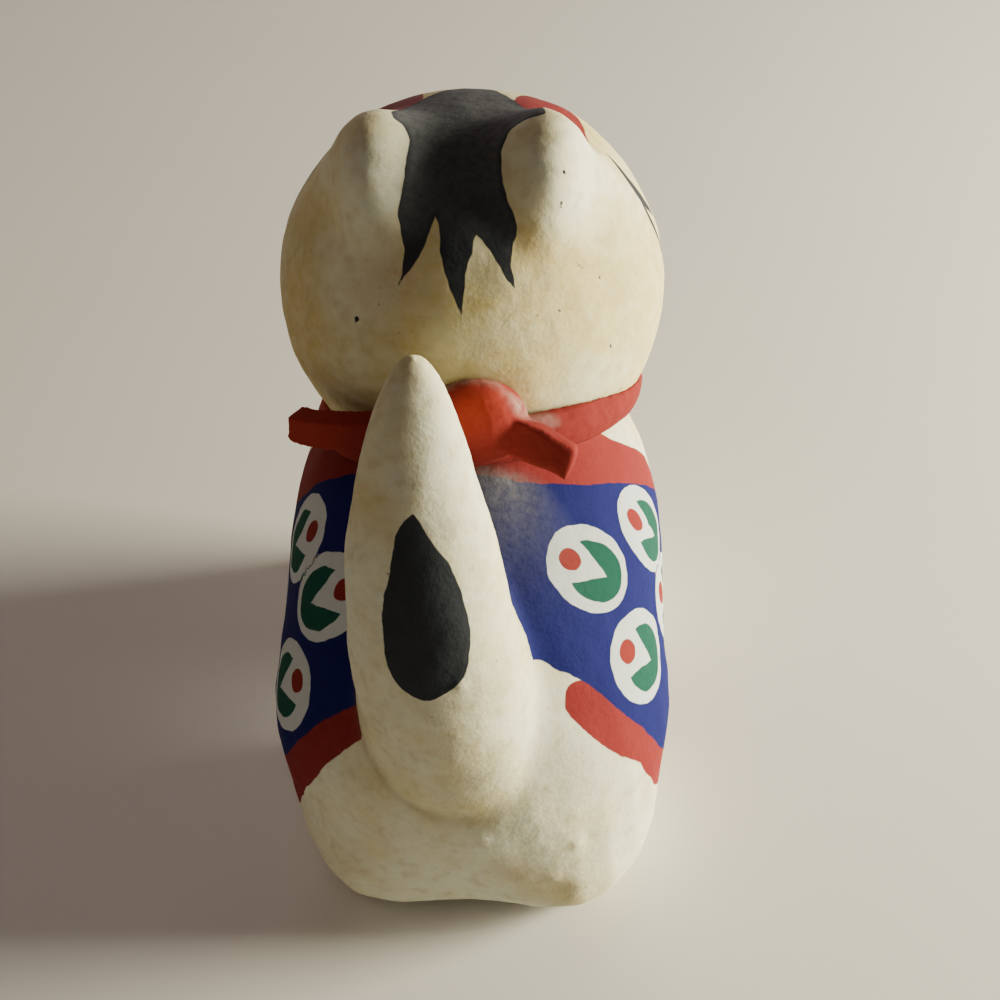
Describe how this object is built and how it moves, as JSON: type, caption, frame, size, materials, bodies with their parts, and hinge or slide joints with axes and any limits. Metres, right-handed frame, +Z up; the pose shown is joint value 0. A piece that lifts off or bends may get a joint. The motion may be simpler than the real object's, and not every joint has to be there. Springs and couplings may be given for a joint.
{
  "type": "papier-mache dog figure",
  "caption": "Standing papier-mache dog with a round head, petal ears, an upright tail and a knotted red neck ribbon, painted with a patterned garment.",
  "frame": {"origin": "centre of the figure's box in plan, at the floor it stands on", "axes": "+Z up, the dog faces -Y, its left side is +X"},
  "size_m": [0.081, 0.1242, 0.1417],
  "materials": {
    "painted_paper": "matt chalk-white ground on pasted paper, hand painted, slightly yellowed",
    "red_paper": "stiff pasted paper painted matt red"
  },
  "bodies": {
    "root": {"dog": "painted_paper", "tail": "painted_paper", "neck_ribbon": "red_paper"}
  },
  "joints": []
}
